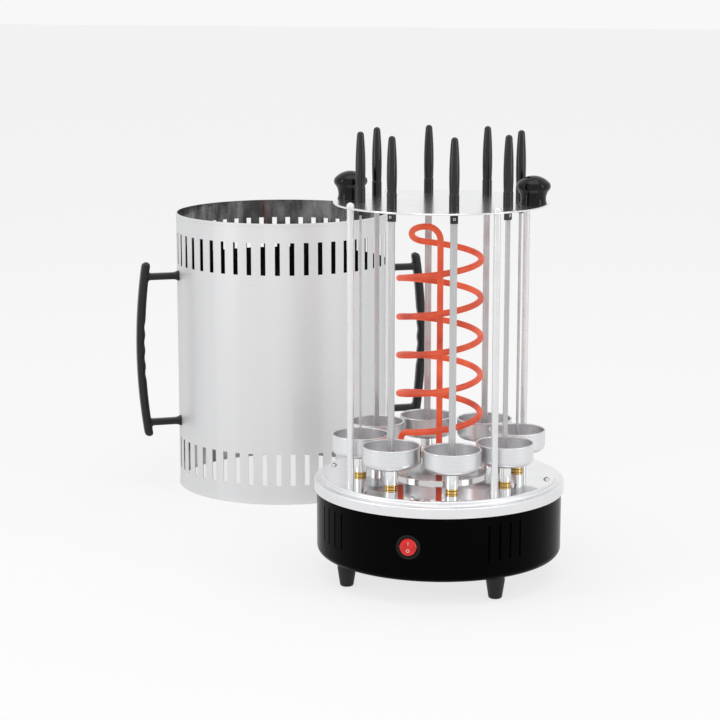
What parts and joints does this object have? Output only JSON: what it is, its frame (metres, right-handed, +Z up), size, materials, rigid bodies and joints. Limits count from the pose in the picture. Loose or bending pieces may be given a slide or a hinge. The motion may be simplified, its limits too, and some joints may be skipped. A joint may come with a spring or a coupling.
{
  "type": "electric skewer grill",
  "caption": "Upright electric skewer grill with turning drip cups, flat skewers around a coiled heater, a geared base and a slotted lift-off cover with handles.",
  "frame": {"origin": "on the table, under the middle of the whole set: the grill and its cover standing beside it", "axes": "+Z up; -Y is the side of the switch; +X is to the right as seen from the side of the switch"},
  "size_m": [0.5671, 0.5962, 0.462],
  "materials": {
    "black_enamel": "gloss black baked enamel",
    "zinc_sheet": "dull zinc-plated sheet",
    "rubber_black": "matt black rubber",
    "stud_zinc": "zinc-plated screws",
    "mirror_chrome": "mirror-polished stainless sheet",
    "brass_ring": "turned brass",
    "motor_case": "drawn steel can",
    "post_chrome": "polished rod",
    "plate_steel": "satin stainless plate with a bright edge",
    "knob_black": "gloss black heat-resisting plastic",
    "heater_glow": "heating tube at red heat",
    "reflector_chrome": "bright pressed dish",
    "ceramic_white": "unglazed ceramic",
    "switch_black": "black switch bezel",
    "cord_black": "black insulation",
    "block_cream": "cream terminal block",
    "gear_white": "white nylon",
    "spindle_chrome": "turned and polished",
    "cup_steel": "spun bright steel",
    "blade_steel": "bright flat bar",
    "handle_black": "black moulded grip",
    "rocker_red": "translucent red rocker",
    "cover_steel": "brushed stainless sheet",
    "cover_grip": "black moulded handle"
  },
  "bodies": {
    "grill_frame": {"housing": "black_enamel", "bottom_pan": "zinc_sheet", "feet": "rubber_black", "foot_studs": "stud_zinc", "deck": "mirror_chrome", "deck_screws": "stud_zinc", "deck_bushings": "brass_ring", "gear_tray": "zinc_sheet", "tray_screws": "stud_zinc", "motor": "motor_case", "posts": "post_chrome", "post_nuts": "post_chrome", "top_plate": "plate_steel", "knobs": "knob_black", "knob_screws": "stud_zinc", "heater": "heater_glow", "heater_reflector": "reflector_chrome", "heater_insulators": "ceramic_white", "switch_body": "switch_black", "cord_gland": "cord_black", "terminal_block": "block_cream", "wiring": "cord_black"},
    "drive": {"drive_gear": "gear_white"},
    "pinion": {"motor_pinion": "gear_white"},
    "turntable_1": {"spindle_1": "spindle_chrome", "cup_1": "cup_steel"},
    "turntable_2": {"spindle_2": "spindle_chrome", "cup_2": "cup_steel"},
    "turntable_3": {"spindle_3": "spindle_chrome", "cup_3": "cup_steel"},
    "turntable_4": {"spindle_4": "spindle_chrome", "cup_4": "cup_steel"},
    "turntable_5": {"spindle_5": "spindle_chrome", "cup_5": "cup_steel"},
    "turntable_6": {"spindle_6": "spindle_chrome", "cup_6": "cup_steel"},
    "turntable_7": {"spindle_7": "spindle_chrome", "cup_7": "cup_steel"},
    "turntable_8": {"spindle_8": "spindle_chrome", "cup_8": "cup_steel"},
    "spit_1": {"skewer_1": "blade_steel", "skewer_handle_1": "handle_black"},
    "spit_2": {"skewer_2": "blade_steel", "skewer_handle_2": "handle_black"},
    "spit_3": {"skewer_3": "blade_steel", "skewer_handle_3": "handle_black"},
    "spit_4": {"skewer_4": "blade_steel", "skewer_handle_4": "handle_black"},
    "spit_5": {"skewer_5": "blade_steel", "skewer_handle_5": "handle_black"},
    "spit_6": {"skewer_6": "blade_steel", "skewer_handle_6": "handle_black"},
    "spit_7": {"skewer_7": "blade_steel", "skewer_handle_7": "handle_black"},
    "spit_8": {"skewer_8": "blade_steel", "skewer_handle_8": "handle_black"},
    "rocker": {"switch_rocker": "rocker_red"},
    "cover": {"cover_sleeve": "cover_steel", "cover_handles": "cover_grip", "handle_screws": "stud_zinc"}
  },
  "joints": [
    {"name": "drive_turn", "type": "hinge", "parent": "grill_frame", "child": "drive", "pos_m": [0.15355, -0.1676, 0.0826], "axis": [0, 0, 1], "continuous": true},
    {"name": "pinion_turn", "type": "hinge", "parent": "grill_frame", "child": "pinion", "pos_m": [0.15355, -0.0951, 0.0826], "axis": [0, 0, 1], "continuous": true},
    {"name": "spindle_turn_1", "type": "hinge", "parent": "grill_frame", "child": "turntable_1", "pos_m": [0.18512, -0.24382, 0.1065], "axis": [0, 0, 1], "continuous": true},
    {"name": "spindle_turn_2", "type": "hinge", "parent": "grill_frame", "child": "turntable_2", "pos_m": [0.22977, -0.19918, 0.1065], "axis": [0, 0, 1], "continuous": true},
    {"name": "spindle_turn_3", "type": "hinge", "parent": "grill_frame", "child": "turntable_3", "pos_m": [0.22977, -0.13603, 0.1065], "axis": [0, 0, 1], "continuous": true},
    {"name": "spindle_turn_4", "type": "hinge", "parent": "grill_frame", "child": "turntable_4", "pos_m": [0.18512, -0.09138, 0.1065], "axis": [0, 0, 1], "continuous": true},
    {"name": "spindle_turn_5", "type": "hinge", "parent": "grill_frame", "child": "turntable_5", "pos_m": [0.12198, -0.09138, 0.1065], "axis": [0, 0, 1], "continuous": true},
    {"name": "spindle_turn_6", "type": "hinge", "parent": "grill_frame", "child": "turntable_6", "pos_m": [0.07733, -0.13603, 0.1065], "axis": [0, 0, 1], "continuous": true},
    {"name": "spindle_turn_7", "type": "hinge", "parent": "grill_frame", "child": "turntable_7", "pos_m": [0.07733, -0.19918, 0.1065], "axis": [0, 0, 1], "continuous": true},
    {"name": "spindle_turn_8", "type": "hinge", "parent": "grill_frame", "child": "turntable_8", "pos_m": [0.12198, -0.24382, 0.1065], "axis": [0, 0, 1], "continuous": true},
    {"name": "skewer_lift_1", "type": "slide", "parent": "turntable_1", "child": "spit_1", "axis": [0, 0, 1], "range_m": [0, 0.035]},
    {"name": "skewer_lift_2", "type": "slide", "parent": "turntable_2", "child": "spit_2", "axis": [0, 0, 1], "range_m": [0, 0.035]},
    {"name": "skewer_lift_3", "type": "slide", "parent": "turntable_3", "child": "spit_3", "axis": [0, 0, 1], "range_m": [0, 0.035]},
    {"name": "skewer_lift_4", "type": "slide", "parent": "turntable_4", "child": "spit_4", "axis": [0, 0, 1], "range_m": [0, 0.035]},
    {"name": "skewer_lift_5", "type": "slide", "parent": "turntable_5", "child": "spit_5", "axis": [0, 0, 1], "range_m": [0, 0.035]},
    {"name": "skewer_lift_6", "type": "slide", "parent": "turntable_6", "child": "spit_6", "axis": [0, 0, 1], "range_m": [0, 0.035]},
    {"name": "skewer_lift_7", "type": "slide", "parent": "turntable_7", "child": "spit_7", "axis": [0, 0, 1], "range_m": [0, 0.035]},
    {"name": "skewer_lift_8", "type": "slide", "parent": "turntable_8", "child": "spit_8", "axis": [0, 0, 1], "range_m": [0, 0.035]},
    {"name": "switch_tilt", "type": "hinge", "parent": "grill_frame", "child": "rocker", "pos_m": [0.15355, -0.29443, 0.0605], "axis": [1, 0, 0], "range_deg": [0, 14]},
    {"name": "cover_lift", "type": "slide", "parent": "grill_frame", "child": "cover", "axis": [0, 0, 1], "range_m": [0, 0.4]}
  ],
  "couplings": [
    {"joint": "pinion_turn", "follows": "drive_turn", "ratio": -3.8333},
    {"joint": "spindle_turn_1", "follows": "drive_turn", "ratio": -2.3},
    {"joint": "spindle_turn_2", "follows": "drive_turn", "ratio": -2.3},
    {"joint": "spindle_turn_3", "follows": "drive_turn", "ratio": -2.3},
    {"joint": "spindle_turn_4", "follows": "drive_turn", "ratio": -2.3},
    {"joint": "spindle_turn_5", "follows": "drive_turn", "ratio": -2.3},
    {"joint": "spindle_turn_6", "follows": "drive_turn", "ratio": -2.3},
    {"joint": "spindle_turn_7", "follows": "drive_turn", "ratio": -2.3},
    {"joint": "spindle_turn_8", "follows": "drive_turn", "ratio": -2.3}
  ]
}
